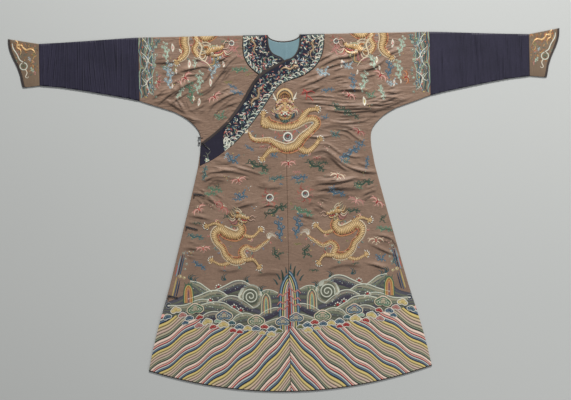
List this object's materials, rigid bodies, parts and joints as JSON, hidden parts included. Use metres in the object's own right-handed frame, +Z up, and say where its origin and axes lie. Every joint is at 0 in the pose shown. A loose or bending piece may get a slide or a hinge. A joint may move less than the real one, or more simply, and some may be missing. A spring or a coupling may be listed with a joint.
{
  "type": "mandarin coat",
  "caption": "Full-length embroidered silk robe laid flat: side-lapping front with a slanting neckband, pleated sleeve ends, hoof-shaped cuffs, side loops and ball buttons.",
  "frame": {"origin": "middle of the robe's box, on the surface that it lies on", "axes": "+X to the wearer's left, along the sleeves; +Y from the hem to the neck; +Z up, out of the front"},
  "size_m": [2.16, 1.4032, 0.0159],
  "materials": {
    "brown_satin": "soft satin weave, slightly creased",
    "neckband_embroidery": "navy silk, closely embroidered",
    "navy_silk": "dark navy silk, finely pleated on the sleeves",
    "blue_lining": "plain light blue silk",
    "dark_binding": "dark brown brocade binding",
    "cuff_brocade": "brown satin with gold and pale thread",
    "black_cord": "dark twisted cord and knotted ball"
  },
  "bodies": {
    "root": {"back_left": "brown_satin", "back_right": "brown_satin", "front_left": "brown_satin", "front_right": "brown_satin", "front_lap": "brown_satin", "neckband_back": "neckband_embroidery", "neckband_under": "neckband_embroidery", "neckband_over": "neckband_embroidery", "band_tail": "navy_silk", "sleeve_front_left": "navy_silk", "sleeve_front_right": "navy_silk", "sleeve_back_left": "navy_silk", "sleeve_back_right": "navy_silk", "lining_back": "blue_lining", "lap_binding": "dark_binding", "neck_binding_under": "dark_binding", "neck_binding_back": "dark_binding", "hem_binding_front_left": "dark_binding", "hem_binding_front_right": "dark_binding", "hem_binding_back_left": "dark_binding", "hem_binding_back_right": "dark_binding", "cuff_binding_front_left": "dark_binding", "cuff_binding_front_right": "dark_binding", "cuff_binding_back_left": "dark_binding", "cuff_binding_back_right": "dark_binding", "cuff_front_left": "cuff_brocade", "cuff_front_right": "cuff_brocade", "cuff_back_left": "cuff_brocade", "cuff_back_right": "cuff_brocade", "loop_side_1": "black_cord", "loop_side_2": "black_cord", "loop_side_3": "black_cord", "loop_armpit": "black_cord", "button_side_1": "black_cord", "button_side_2": "black_cord", "button_side_3": "black_cord", "button_armpit_1": "black_cord", "button_armpit_2": "black_cord"}
  },
  "joints": []
}
